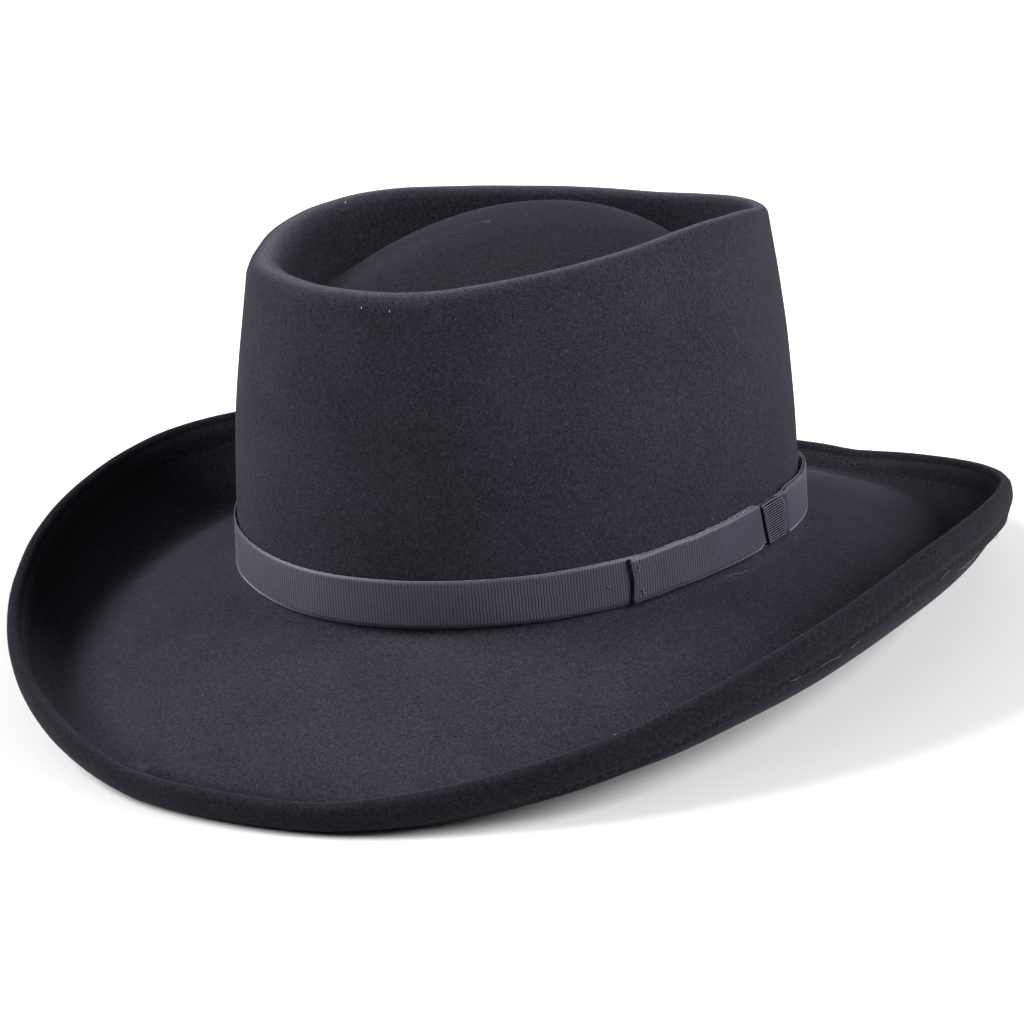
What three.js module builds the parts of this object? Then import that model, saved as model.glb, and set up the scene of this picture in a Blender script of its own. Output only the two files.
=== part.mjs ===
// A gambler hat, standing as it is put down: one blocked felt shell with a telescope crown and a curled brim,
// a ribbon band round the foot of the crown, and a flat ribbon bow with its keeper on the wearer's left.
// Millimetres. +Z is up, the front faces -Y, the wearer's left is +X, and the brim rests on z = 0.
import * as THREE from 'three';

// Felt
const FELT = 2.4;              // wall of the felt
const OVAL_LONG = 100.3;       // half length of the crown's foot, outside
const OVAL_WIDE = 85.5;        // half width of the crown's foot, outside
const FOOT_RISE = 37.5;        // crown's foot above the surface, at the front
const CROWN_HEIGHT = 105;      // foot to rim, at the wearer's left
const CROWN_BULGE = 2.2;       // how far the crown's wall stands out between foot and rim
const RIM_ROLL = 2.2;          // radius of the rim's sharpest fold, to the middle of the felt
const TROUGH_DEPTH = 17.4;     // rim down to the bottom of the trough
const TROUGH_SET = 14.2;       // rim in to the middle of the trough
const TROUGH_ROUND = 6;        // radius of the trough's bottom
const DOME_RISE = 101.9;       // dome's top above the crown's mean foot
const DOME_BACK = 16.2;        // how far the dome's top lies behind the middle
const DOME_POWER = 2.33;       // 2 is a plain round dome, more is flatter on top
const CREASE = 3;              // radius where the crown turns into the brim
const BRIM_WIDTH = 70;         // crown to edge, seen from above
const BRIM_SWELL = 1.5;        // how far the brim swells above a straight slope
const LIP_LOW = 8.6;           // middle of the edge above the surface, front and back
const LIP_LIFT = 38;           // how much higher the edge stands at the sides
const TOE_LOW = 3.0;           // lowest line of the brim above the surface, front and back
const TOE_SHARE = 0.42;        // share of the lift that raises the whole brim
const CURL_TIGHT = 6.5;        // width of the curl, front and back
const CURL_WIDE = 22;          // width of the curl at the sides
const TURN_STEP = 0.8;         // length over which the turned-in felt ends
const TURN_IN = 10;            // depth of the edge that is turned under and stitched

// Ribbon
const RIBBON = 0.7;            // thickness of the ribbon
const RIBBON_WIDTH = 15;       // width of the band
const BOW_WIDTH = 14.4;        // width of the bow's wings
const GAP = 0.3;               // clearance between neighbours
const BAND_LIFT = 0.4;         // band's lower edge above the crown's foot
const BOW_ANGLE = 101.5;       // degrees from the front round to the wearer's left
const WING_LENGTH = 63;        // keeper's middle to the end of a wing
const WING_THICK = 1.2;        // two layers of ribbon
const BOW_RISE = 2.9;          // how much higher the bow sits at the keeper than at its ends
const PINCH = 1.2;             // how far the keeper draws in each edge of the bow
const PINCH_REACH = 2.4;       // how far past the keeper the pinch is felt
const KEEPER_WIDTH = 12.8;

// The hat's form round the head, in even steps from the front towards the wearer's left.
// foot: height of the crown's foot, of FOOT_RISE.
// rimReach: reach of the rim, of the foot's reach there.
// rimRise: foot to rim, of CROWN_HEIGHT.
// roll: radius of the rim's fold, of RIM_ROLL.
// brimReach: crown to edge, of BRIM_WIDTH.
// lift: height of the edge, of LIP_LIFT. Below nothing it counts as nothing, so that the edge runs level
// where it rests.
const FORM = [
  { foot: 1.00, rimReach: 0.866, rimRise: 0.94, roll: 1.90, brimReach: 1.05, lift: -0.05 },
  { foot: 0.99, rimReach: 0.875, rimRise: 0.94, roll: 1.50, brimReach: 1.05, lift: 0.06 },
  { foot: 0.96, rimReach: 0.867, rimRise: 0.97, roll: 1.25, brimReach: 1.03, lift: 0.37 },
  { foot: 0.94, rimReach: 0.861, rimRise: 0.99, roll: 1.10, brimReach: 0.99, lift: 0.77 },
  { foot: 0.91, rimReach: 0.868, rimRise: 1.00, roll: 1.00, brimReach: 0.96, lift: 1.00 },
  { foot: 0.85, rimReach: 0.893, rimRise: 0.99, roll: 1.00, brimReach: 0.95, lift: 0.90 },
  { foot: 0.78, rimReach: 0.917, rimRise: 0.95, roll: 1.00, brimReach: 0.96, lift: 0.56 },
  { foot: 0.71, rimReach: 0.921, rimRise: 0.92, roll: 1.10, brimReach: 0.96, lift: 0.20 },
  { foot: 0.69, rimReach: 0.911, rimRise: 0.89, roll: 1.20, brimReach: 0.96, lift: -0.04 },
  { foot: 0.71, rimReach: 0.902, rimRise: 0.90, roll: 1.30, brimReach: 0.96, lift: 0.12 },
  { foot: 0.76, rimReach: 0.892, rimRise: 0.92, roll: 1.40, brimReach: 0.96, lift: 0.46 },
  { foot: 0.84, rimReach: 0.873, rimRise: 0.94, roll: 1.60, brimReach: 0.96, lift: 0.79 },
  { foot: 0.91, rimReach: 0.850, rimRise: 0.94, roll: 1.90, brimReach: 0.97, lift: 0.94 },
  { foot: 0.97, rimReach: 0.828, rimRise: 0.93, roll: 2.30, brimReach: 1.01, lift: 0.83 },
  { foot: 1.01, rimReach: 0.825, rimRise: 0.91, roll: 2.50, brimReach: 1.05, lift: 0.52 },
  { foot: 1.02, rimReach: 0.851, rimRise: 0.93, roll: 2.30, brimReach: 1.06, lift: 0.19 },
];

// Fineness of the meshes
const ROUND_STEPS = 64;
const DOME_STEPS = 6;
const ARC_STEPS = 4;
const WALL_STEPS = 5;
const BRIM_STEPS = 4;
const CURL_STEPS = 3;
const BOW_STEPS = 60;
const KEEPER_STEPS = 4;

const rad = THREE.MathUtils.degToRad;
const lerp = THREE.MathUtils.lerp;

// One closed smooth line for each column of the form
const formLine = (column) => {
  const rows = FORM.map((row) => new THREE.Vector3(row[column], 0, 0));
  const line = new THREE.CatmullRomCurve3(rows, true, 'catmullrom', 0.5);
  return (angle) => line.getPoint(THREE.MathUtils.euclideanModulo(angle / (2 * Math.PI), 1)).x;
};
const footShare = formLine('foot');
const rimReachShare = formLine('rimReach');
const rimRiseShare = formLine('rimRise');
const rollShare = formLine('roll');
const brimReachShare = formLine('brimReach');
const liftShare = formLine('lift');

const ovalReach = (angle) => 1 / Math.hypot(Math.cos(angle) / OVAL_LONG, Math.sin(angle) / OVAL_WIDE);
const footHeight = (angle) => FOOT_RISE * footShare(angle);
const rimReach = (angle) => ovalReach(angle) * rimReachShare(angle);
const rimRise = (angle) => CROWN_HEIGHT * rimRiseShare(angle);
const lift = (angle) => Math.max(0, liftShare(angle));

const meanFoot = FORM.reduce((sum, row) => sum + row.foot, 0) * FOOT_RISE / FORM.length;
const domeTop = meanFoot + DOME_RISE;

// Outside of the crown's wall, at a height above its foot
const wallReach = (angle, up) => {
  const share = up / rimRise(angle);
  const rimOutside = rimReach(angle) + RIM_ROLL + FELT / 2;
  return lerp(ovalReach(angle), rimOutside, share) + CROWN_BULGE * Math.sin(Math.PI * share);
};

// Points of an arc about a centre, from one angle to another in degrees
const arc = (x, y, radius, from, to, steps) => {
  const points = [];
  for (let i = 0; i <= steps; i += 1) {
    const turn = rad(lerp(from, to, i / steps));
    points.push(new THREE.Vector2(x + radius * Math.cos(turn), y + radius * Math.sin(turn)));
  }
  return points;
};

// The crown's middle line in one section: dome, trough, rim, wall and crease, as (reach, height)
const TROUGH_START = 235;
const TROUGH_END = 340;
const ROLL_START = 160;
const ROLL_END = 5;
const CREASE_END = 242;

function crownLine(angle) {
  const rimHeight = footHeight(angle) + rimRise(angle);
  const trough = arc(rimReach(angle) - TROUGH_SET, rimHeight - TROUGH_DEPTH + TROUGH_ROUND,
    TROUGH_ROUND, TROUGH_START, TROUGH_END, ARC_STEPS);
  const points = [];
  for (let i = 0; i < DOME_STEPS; i += 1) {
    const share = i / DOME_STEPS;
    points.push(new THREE.Vector2(trough[0].x * share, lerp(domeTop, trough[0].y, share ** DOME_POWER)));
  }
  points.push(...trough);
  const roll = RIM_ROLL * rollShare(angle);
  const rollUp = rimRise(angle) + RIM_ROLL - roll;
  points.push(...arc(wallReach(angle, rollUp) - FELT / 2 - roll, footHeight(angle) + rollUp,
    roll, ROLL_START, ROLL_END, ARC_STEPS + 1));
  for (let i = 1; i < WALL_STEPS; i += 1) {
    const up = rimRise(angle) * (1 - i / WALL_STEPS);
    points.push(new THREE.Vector2(wallReach(angle, up) - FELT / 2, footHeight(angle) + up));
  }
  points.push(...arc(ovalReach(angle) + CREASE, footHeight(angle),
    CREASE + FELT / 2, 180, CREASE_END, ARC_STEPS));
  return points;
}

// The brim's middle line in one section, from the crease to the edge.
// The last points lie at set distances from the edge, so that the turned-in felt ends on one of them.
const TURN_POINTS = [TURN_IN + TURN_STEP, TURN_IN, TURN_IN * 0.75, TURN_IN * 0.4, 0];

function brimLine(angle, start) {
  const rise = lift(angle);
  const width = lerp(CURL_TIGHT, CURL_WIDE, rise);
  const edgeReach = ovalReach(angle) + BRIM_WIDTH * brimReachShare(angle) - FELT / 2;
  const edgeHeight = LIP_LOW + LIP_LIFT * rise;
  const height = edgeHeight - TOE_LOW - LIP_LIFT * rise * TOE_SHARE;
  const slope = (start.y - edgeHeight + height) / (edgeReach - width - start.x);
  const lead = Math.atan(slope * width / height);
  const begin = -Math.PI / 2 - lead;
  const curl = new THREE.EllipseCurve(edgeReach - width, edgeHeight, width, height, begin, 0, false);
  const length = curl.getLength();
  const toe = curl.getPoint(0);
  const points = [];
  for (let i = 1; i < BRIM_STEPS; i += 1) {
    const share = i / BRIM_STEPS;
    const point = start.clone().lerp(toe, share);
    point.y += BRIM_SWELL * Math.sin(Math.PI * share);
    points.push(point);
  }
  for (let i = 0; i < CURL_STEPS; i += 1) {
    points.push(curl.getPointAt((1 - TURN_POINTS[0] / length) * i / CURL_STEPS));
  }
  TURN_POINTS.forEach((back) => points.push(curl.getPointAt(1 - back / length)));
  return points;
}

// A line moved sideways, to its left for a positive distance
function moved(points, distance) {
  return points.map((point, i) => {
    const before = points[Math.max(i - 1, 0)];
    const after = points[Math.min(i + 1, points.length - 1)];
    const along = after.clone().sub(before).normalize();
    const side = new THREE.Vector2(-along.y, along.x);
    if (i === 0) {
      side.set(0, 1);
    }
    return point.clone().addScaledVector(side, distance);
  });
}

// The felt's whole section: inside, turned-in layer, folded edge and face, flattened where it rests
function feltSection(angle) {
  const crown = crownLine(angle);
  const middle = [...crown, ...brimLine(angle, crown[crown.length - 1])];
  const edge = middle[middle.length - 1];
  const face = moved(middle, FELT / 2);
  const turned = moved(middle, -FELT * 1.5);
  const inside = moved(middle, -FELT / 2);
  const turnedCount = TURN_POINTS.length - 1;
  const fold = arc(edge.x + FELT / 2, edge.y, FELT, 0, 180, ARC_STEPS).slice(1, -1);
  const back = [...inside.slice(0, -turnedCount), ...turned.slice(-turnedCount)];
  const section = [...back, ...fold, ...face.reverse()];
  section.forEach((point) => {
    point.y = Math.max(point.y, 0);
  });
  return section;
}

// A lathed ring whose section changes as it goes round. The first section gives the lathe its mesh.
function lathedForm(sectionAt) {
  const first = sectionAt(0);
  const geometry = new THREE.LatheGeometry(first, ROUND_STEPS);
  const position = geometry.attributes.position;
  for (let i = 0; i <= ROUND_STEPS; i += 1) {
    const angle = (i % ROUND_STEPS) * 2 * Math.PI / ROUND_STEPS;
    sectionAt(angle).forEach((point, j) => {
      position.setXYZ(i * first.length + j, point.x * Math.sin(angle), point.y, point.x * Math.cos(angle));
    });
  }
  return geometry.rotateX(Math.PI / 2);
}

// The dome's top lies behind the middle: each point inside the trough moves back, most at the top
function pushDomeBack(geometry) {
  const position = geometry.attributes.position;
  for (let i = 0; i < position.count; i += 1) {
    const x = position.getX(i);
    const y = position.getY(i);
    const angle = Math.atan2(x, -y);
    const trough = rimReach(angle) - TROUGH_SET;
    const share = Math.hypot(x, y) / trough;
    const underCrown = position.getZ(i) > footHeight(angle) + rimRise(angle) - TROUGH_DEPTH - FELT;
    if (share < 1 && underCrown) {
      position.setY(i, y + DOME_BACK * (1 - share * share));
    }
  }
  return geometry;
}

// The band's section: a flat strip that follows the crown's wall
function bandSection(angle) {
  const low = BAND_LIFT;
  const high = BAND_LIFT + RIBBON_WIDTH;
  const corner = (up, out) => new THREE.Vector2(wallReach(angle, up) + GAP + out, footHeight(angle) + up);
  return [corner(low, 0), corner(low, RIBBON), corner(high, RIBBON), corner(high, 0), corner(low, 0)];
}

// Lays a flat shape on the band's face.
// x: along the band from the bow's middle, y: above the foot, z: outwards
const faceOut = GAP + RIBBON + GAP;

function laidOnBand(geometry) {
  const position = geometry.attributes.position;
  const middle = rad(BOW_ANGLE);
  for (let i = 0; i < position.count; i += 1) {
    const angle = middle + position.getX(i) / ovalReach(middle);
    const up = position.getY(i);
    const bandUp = Math.min(Math.max(up, BAND_LIFT), BAND_LIFT + RIBBON_WIDTH);
    const reach = wallReach(angle, bandUp) + faceOut + position.getZ(i);
    position.setXYZ(i, reach * Math.sin(angle), -reach * Math.cos(angle), footHeight(angle) + up);
  }
  return geometry;
}

// Middle of the bow above the foot, a distance along from the keeper
const bowMiddle = (along) => BAND_LIFT + RIBBON_WIDTH / 2 + BOW_RISE * (1 - (along / WING_LENGTH) ** 2);

// Both wings of the bow in one strip, drawn in under the keeper and lower at the ends
function bowShape() {
  const geometry = new THREE.BoxGeometry(2 * WING_LENGTH, BOW_WIDTH, WING_THICK, BOW_STEPS, 2, 1);
  const position = geometry.attributes.position;
  for (let i = 0; i < position.count; i += 1) {
    const along = position.getX(i);
    const across = position.getY(i) / (BOW_WIDTH / 2);
    const beyondKeeper = Math.max(0, Math.abs(along) - KEEPER_WIDTH / 2 - GAP);
    const pinch = PINCH * Math.exp(-((beyondKeeper / PINCH_REACH) ** 2));
    position.setY(i, bowMiddle(along) + across * (BOW_WIDTH / 2 - pinch));
    position.setZ(i, position.getZ(i) + WING_THICK / 2);
  }
  return laidOnBand(geometry);
}

// The keeper: a strip over the bow with its two ends turned in above and below
function keeperShape() {
  const high = bowMiddle(0) + BOW_WIDTH / 2 - PINCH + GAP + RIBBON;
  const low = bowMiddle(0) - BOW_WIDTH / 2 + PINCH - GAP - RIBBON;
  const out = WING_THICK + GAP;
  const outline = new THREE.Shape([
    new THREE.Vector2(0, low),
    new THREE.Vector2(out + RIBBON, low),
    new THREE.Vector2(out + RIBBON, high),
    new THREE.Vector2(0, high),
    new THREE.Vector2(0, high - RIBBON),
    new THREE.Vector2(out, high - RIBBON),
    new THREE.Vector2(out, low + RIBBON),
    new THREE.Vector2(0, low + RIBBON),
  ]);
  const settings = { depth: KEEPER_WIDTH, steps: KEEPER_STEPS, bevelEnabled: false };
  const geometry = new THREE.ExtrudeGeometry(outline, settings);
  geometry.rotateY(-Math.PI / 2).translate(KEEPER_WIDTH / 2, 0, 0);
  return laidOnBand(geometry);
}

const feltLook = new THREE.MeshStandardMaterial({ color: 0x2b2a32, roughness: 0.95, metalness: 0 });
const ribbonLook = new THREE.MeshStandardMaterial({ color: 0x3b3a43, roughness: 0.7, metalness: 0 });

function piece(name, geometry, material) {
  const mesh = new THREE.Mesh(geometry, material);
  mesh.name = name;
  return mesh;
}

const hat = new THREE.Group();
hat.add(piece('felt_body', pushDomeBack(lathedForm(feltSection)), feltLook));
hat.add(piece('hat_band', lathedForm(bandSection), ribbonLook.clone()));
hat.add(piece('bow', bowShape(), ribbonLook.clone()));
hat.add(piece('bow_keeper', keeperShape(), ribbonLook.clone()));

// The origin is the middle of the hat's outline on the surface
const outlineBox = new THREE.Box3().setFromObject(hat);
const outlineMiddle = outlineBox.getCenter(new THREE.Vector3());
hat.position.set(-outlineMiddle.x, -outlineMiddle.y, -outlineBox.min.z);
hat.updateMatrixWorld(true);

export default hat;
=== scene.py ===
"""Looks of a gambler hat: felt crown and brim, ribbon band, bow and keeper, stitches, lint and loose threads.

Sizes are in millimetres and become metres where a point is placed.
+Z is up, the front faces -Y, and the wearer's left, with the bow, is +X.
"""
import math
import random
from functools import lru_cache

import bmesh
import bpy
from mathutils import Matrix, Vector, noise


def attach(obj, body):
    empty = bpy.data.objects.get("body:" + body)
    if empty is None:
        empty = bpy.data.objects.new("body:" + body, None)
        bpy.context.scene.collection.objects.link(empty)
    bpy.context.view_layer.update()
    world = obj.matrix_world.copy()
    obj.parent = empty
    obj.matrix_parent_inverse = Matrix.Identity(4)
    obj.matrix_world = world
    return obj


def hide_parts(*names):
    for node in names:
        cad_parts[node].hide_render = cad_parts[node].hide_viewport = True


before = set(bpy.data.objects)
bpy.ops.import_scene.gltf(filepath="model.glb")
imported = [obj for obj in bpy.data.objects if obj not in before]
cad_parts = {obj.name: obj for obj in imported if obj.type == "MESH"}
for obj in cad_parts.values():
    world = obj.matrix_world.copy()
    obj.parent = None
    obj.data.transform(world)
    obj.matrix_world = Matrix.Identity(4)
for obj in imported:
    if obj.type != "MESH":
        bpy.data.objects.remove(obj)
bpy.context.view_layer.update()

MM = 0.001

# Felt: the crown's foot is an oval. The rim and the brim are measured from it, and the trough from the rim.
FELT = 2.4
OVAL_LONG = 100.3
OVAL_WIDE = 85.5
OVAL_MIDDLE = Vector((0.353, 3.245, 0.0))
FOOT_RISE = 37.5
CROWN_HEIGHT = 105.0
CROWN_BULGE = 2.2
RIM_ROLL = 2.2
TROUGH_DEPTH = 17.4
TROUGH_SET = 14.2
TROUGH_ROUND = 6.0
DOME_RISE = 101.9
DOME_BACK = 16.2
DOME_POWER = 2.33
CREASE = 3.0
BRIM_WIDTH = 70.0
BRIM_SWELL = 1.5
LIP_LOW = 8.6
LIP_LIFT = 38.0
TOE_LOW = 3.0
TOE_SHARE = 0.42
CURL_TIGHT = 6.5
CURL_WIDE = 22.0
TURN_IN = 10.0

# The sewn edge: the stitch line wanders in and out once round the hat and dents the felt
STITCH_IN = 7.0
STITCH_WANDER = 1.0
STITCH_WANDER_TURN = math.radians(40.0)
STITCH_DENT = 0.3
STITCH_DENT_WIDTH = 1.3
EDGE_PUFF = 0.45
STITCH_LENGTH = 2.6
STITCH_SPACE = 0.9
STITCH_THREAD = 0.6
STITCH_SINK = 0.8 * STITCH_DENT

# Loose threads on the outside of the edge: from and to, in degrees round the hat and in from the edge
EDGE_THREADS = (
    (97.1, 9.7, 103.4, 8.7),
    (98.6, 10.3, 101.0, 9.4),
    (92.3, 8.3, 94.3, 7.0),
    (85.0, 8.9, 86.0, 8.1),
    (75.2, 9.5, 76.4, 8.8),
    (70.3, 8.7, 73.6, 9.4),
    (66.0, 7.4, 67.6, 7.9),
    (110.0, 8.9, 111.6, 8.2),
)
# A loose thread on the brim under the bow: degrees round the hat, reach and height
BRIM_THREAD = (
    (83.2, 85.9, 33.9),
    (85.0, 86.3, 33.2),
    (86.8, 86.7, 32.8),
    (88.8, 86.9, 32.5),
    (90.6, 86.8, 32.4),
)
THREAD = 0.2
THREAD_OFF = 0.45
# Lint on the trough and the rim: degrees round the hat, reach, height and size
LINT = (
    (-96.9, 68.8, 134.6, 1.0),
    (10.1, 90.5, 135.9, 0.55),
    (15.8, 90.1, 134.9, 0.6),
)
LINT_THICK = 0.35
LINT_HALF = Vector((0.1, 0.0, 0.6))
# Tacks through the ribbon: along from the bow's middle, up from the crown's foot, out from the band's face
TACKS = (
    (-61.6, 12.1, 1.3),
    (-60.9, 3.4, 1.3),
    (-71.6, 7.6, -0.2),
    (-62.2, 11.0, 1.3),
    (-61.2, 4.4, 1.3),
)
TACK_THREAD = 0.5
# A tack's four spots in steps from its middle, how far a step goes along and up, and how far it bulges
TACK_STEPS = (-1, -0.4, 0.4, 1)
TACK_ALONG = 0.45
TACK_UP = 0.25
TACK_BULGE = 0.25

# How uneven the felt is: size of the waves and how far they move it. The seed keeps them the same each time.
FELT_WAVES = ((55.0, 0.5), (16.0, 0.14))
FELT_LIES_FLAT = 6.0
NOISE_SEED = 4
noise.seed_set(NOISE_SEED)

# Painted shade darkens the felt towards its edge: how much on the face, and where this fades, on the face and
# underneath
EDGE_SHADE = 0.6
EDGE_SHADE_ENDS = (3.0, 28.0)
UNDER_SHADE_ENDS = (12.0, 45.0)
# How far in from the edge its crest fades, which carries a painted highlight line
EDGE_CREST = 3.5

# Hairs: how far they bend, how deep they are rooted, and how close to the floor they may come
HAIR_BEND = 0.45
HAIR_ROOT = 0.15
HAIR_FLOOR = 0.1
# Where a hair's points lie along it, and by how much its length varies
HAIR_SHARES = (0.1, 0.55, 1.0)
HAIR_LENGTHS = (0.4, 1.3)

# Ribbon: the band lies on the crown. Under the bow its lower part is drawn up and lies closer to the felt.
GAP = 0.3
RIBBON = 0.7
RIBBON_WIDTH = 15.0
BAND_LIFT = 0.4
BAND_TUCK = 0.4
BAND_DRAWN_UP = 1.8
BAND_RIB = 0.96
BOW_RIB = 0.9
KEEPER_RIB = 0.84
RIB_HEIGHT = 0.11
KEEPER_RIB_HEIGHT = 0.2
RIB_FLAT = 0.55
RIBBON_CLOTH = 0.45
RIBBON_SLACK = 0.12
SELVEDGE = 0.9
FACE_OUT = GAP + RIBBON + GAP

# Bow: one flat loop of ribbon, with two wings that are held down by the keeper and stand off beside it
BOW_ANGLE = math.radians(101.5)
BOW_WIDTH = 14.4
BOW_RISE = 2.9
WING_LENGTH = 63.0
WING_THICK = 1.2
WING_SLANT = 0.8
# How far the wings stand off at most and where this ends, and how far off the keeper holds them
WING_PUFF = 0.55
WING_PUFF_ENDS = (10.0, 48.0)
WING_HELD = 0.7
# The flare of their upper edge beside the keeper, their waves, their ragged ends and their flat ribs
WING_FLARE = 0.5
WING_FLARE_AT = 14.0
WING_FLARE_WIDTH = 9.0
WING_WAVE = 0.3
WING_WAVE_SIZE = 9.0
WING_WAVE_ENDS = (15.0, 40.0)
WING_RAGGED = 0.3
WING_RIBS = 0.4
WING_RIBS_ENDS = (16.0, 46.0)
# How far the keeper draws the bow in and where this ends, and its shares above, below and on the right
PINCH = 1.2
PINCH_ENDS = (7.6, 11.0)
PINCH_TOP = 1.3
PINCH_FOOT = 0.7
PINCH_RIGHT = 0.3
# The folds at the wings' ends: length, how far they stick out, and the height where their depth is taken
BOW_BEND = 1.6
BOW_BEND_OUT = 0.45
BOW_BEND_UP = 8.0
BOW_LENGTH = 2 * (2 * WING_LENGTH + BOW_BEND)

# Keeper: the wings lift about this far from its sides, at its foot and at its top
KEEPER_GAP_FOOT = 1.9
KEEPER_GAP_TOP = 0.7
# Sides of the keeper: height above the crown's foot, then its left and right side from the bow's middle
KEEPER_SIDES = (
    (2.0, -4.6, 7.0),
    (3.6, -4.9, 7.1),
    (12.5, -7.0, 7.7),
    (15.0, -7.5, 7.4),
    (16.6, -7.9, 6.0),
    (17.8, -8.1, 4.0),
    (20.0, -8.1, 3.4),
)
KEEPER_TOP = 17.5
KEEPER_FOOT = 3.6
KEEPER_OUT = WING_THICK + GAP + RIBBON_CLOTH / 2 + 0.1
KEEPER_ROUND = 0.8
KEEPER_SAG = 0.5

# Fineness: steps round the hat, then steps along its section from the dome to the fold of the edge
FELT_STEPS = 240
DOME_STEPS = 14
TROUGH_STEPS = 10
SLOPE_STEPS = 5
RIM_STEPS = 12
WALL_STEPS = 18
CREASE_STEPS = 8
BRIM_STEPS = 16
CURL_STEPS = 12
CURL_FINE_STEPS = 120
FOLD_STEPS = 10
# Spots round the ring that the stitches follow, and steps along a loose thread
RING_STEPS = 720
THREAD_STEPS = 24
# The middle of the rim and the rim's crest with its painted highlight line, as places in the section
RIM_MIDDLE = DOME_STEPS + TROUGH_STEPS + SLOPE_STEPS + RIM_STEPS / 2
CREST_PLACE = RIM_MIDDLE - 0.5
CREST_WIDTH = 1.7
# The sunk top, inside the rim, is darkened with painted shade; it ends between these places
SUNK_ENDS = (RIM_MIDDLE - 8, RIM_MIDDLE - 3)
# Set distances from the edge, where the turned-in felt ends and where the stitches press it
TURN_POINTS = (13.0, 12.4, 11.8, 11.2, 10.6, 10.0, 9.6, 9.2, 8.8, 8.4, 8.0, 7.6, 7.2, 6.8, 6.4, 6.0, 5.6, 5.2,
               4.4, 3.6, 2.8, 2.0, 1.2, 0.5, 0.0)

# What each vertex of the felt and of a ribbon carries, as shares from 0 to 1
FELT_SHARES = ("crest", "edge", "sunk")
RIBBON_SHARES = ("rib", "selvedge", "shade")
# A ribbon's rows of vertices, its columns to a rib, and how high each column stands
RIBBON_ROWS = 9
RIB_COLUMNS = 4
RIB_CREST = (0.0, 0.6, 1.0, 0.6)

# The form round the head, in even steps from the front towards the wearer's left.
# foot is a share of FOOT_RISE, rim_reach of the foot's reach, rim_rise of CROWN_HEIGHT, roll of RIM_ROLL,
# brim_reach of BRIM_WIDTH and lift of LIP_LIFT.
FORM_COLUMNS = ("foot", "rim_reach", "rim_rise", "roll", "brim_reach", "lift")
FORM = (
    (1.00, 0.866, 0.94, 1.90, 1.05, -0.05),
    (0.99, 0.875, 0.94, 1.50, 1.05, 0.06),
    (0.96, 0.867, 0.97, 1.25, 1.03, 0.37),
    (0.94, 0.861, 0.99, 1.10, 0.99, 0.77),
    (0.91, 0.868, 1.00, 1.00, 0.96, 1.00),
    (0.85, 0.893, 0.99, 1.00, 0.95, 0.90),
    (0.78, 0.917, 0.95, 1.00, 0.96, 0.56),
    (0.71, 0.921, 0.92, 1.10, 0.96, 0.20),
    (0.69, 0.911, 0.89, 1.20, 0.96, -0.04),
    (0.71, 0.902, 0.90, 1.30, 0.96, 0.12),
    (0.76, 0.892, 0.92, 1.40, 0.96, 0.46),
    (0.84, 0.873, 0.94, 1.60, 0.96, 0.79),
    (0.91, 0.850, 0.94, 1.90, 0.97, 0.94),
    (0.97, 0.828, 0.93, 2.30, 1.01, 0.83),
    (1.01, 0.825, 0.91, 2.50, 1.05, 0.52),
    (1.02, 0.851, 0.93, 2.30, 1.06, 0.19),
)
DOME_TOP = sum(row[0] for row in FORM) * FOOT_RISE / len(FORM) + DOME_RISE


def mix(low, high, share):
    return low + (high - low) * share


def smooth(low, high, value):
    """0 below low, 1 above high, and a soft turn between them."""
    share = min(max((value - low) / (high - low), 0.0), 1.0)
    return share * share * (3.0 - 2.0 * share)


def hump(value, middle, width):
    """1 at the middle and near 0 from two widths away."""
    return math.exp(-(((value - middle) / width) ** 2))


def form(column, angle):
    """One column of the form table as a closed smooth line."""
    index = FORM_COLUMNS.index(column)
    place = angle / (2 * math.pi) % 1.0 * len(FORM)
    first = int(place)
    t = place - first
    a, b, c, d = (FORM[(first + step) % len(FORM)][index] for step in (-1, 0, 1, 2))
    bend = 2 * a - 5 * b + 4 * c - d
    return 0.5 * (2 * b + (c - a) * t + bend * t * t + (3 * b - a - 3 * c + d) * t ** 3)


@lru_cache(maxsize=None)
def oval_reach(angle):
    return 1 / math.hypot(math.cos(angle) / OVAL_LONG, math.sin(angle) / OVAL_WIDE)


@lru_cache(maxsize=None)
def foot_height(angle):
    return FOOT_RISE * form("foot", angle)


@lru_cache(maxsize=None)
def rim_reach(angle):
    return oval_reach(angle) * form("rim_reach", angle)


@lru_cache(maxsize=None)
def rim_rise(angle):
    return CROWN_HEIGHT * form("rim_rise", angle)


def wall_reach(angle, up):
    """Outside of the crown's wall, at a height above its foot."""
    share = up / rim_rise(angle)
    rim_outside = rim_reach(angle) + RIM_ROLL + FELT / 2
    return mix(oval_reach(angle), rim_outside, share) + CROWN_BULGE * math.sin(math.pi * share)


def arc(x, y, radius, start, end, steps):
    turns = [math.radians(mix(start, end, i / steps)) for i in range(steps + 1)]
    return [Vector((x + radius * math.cos(turn), y + radius * math.sin(turn))) for turn in turns]


def line(start, end, steps):
    """Points between two points, without either."""
    return [start.lerp(end, i / steps) for i in range(1, steps)]


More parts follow.
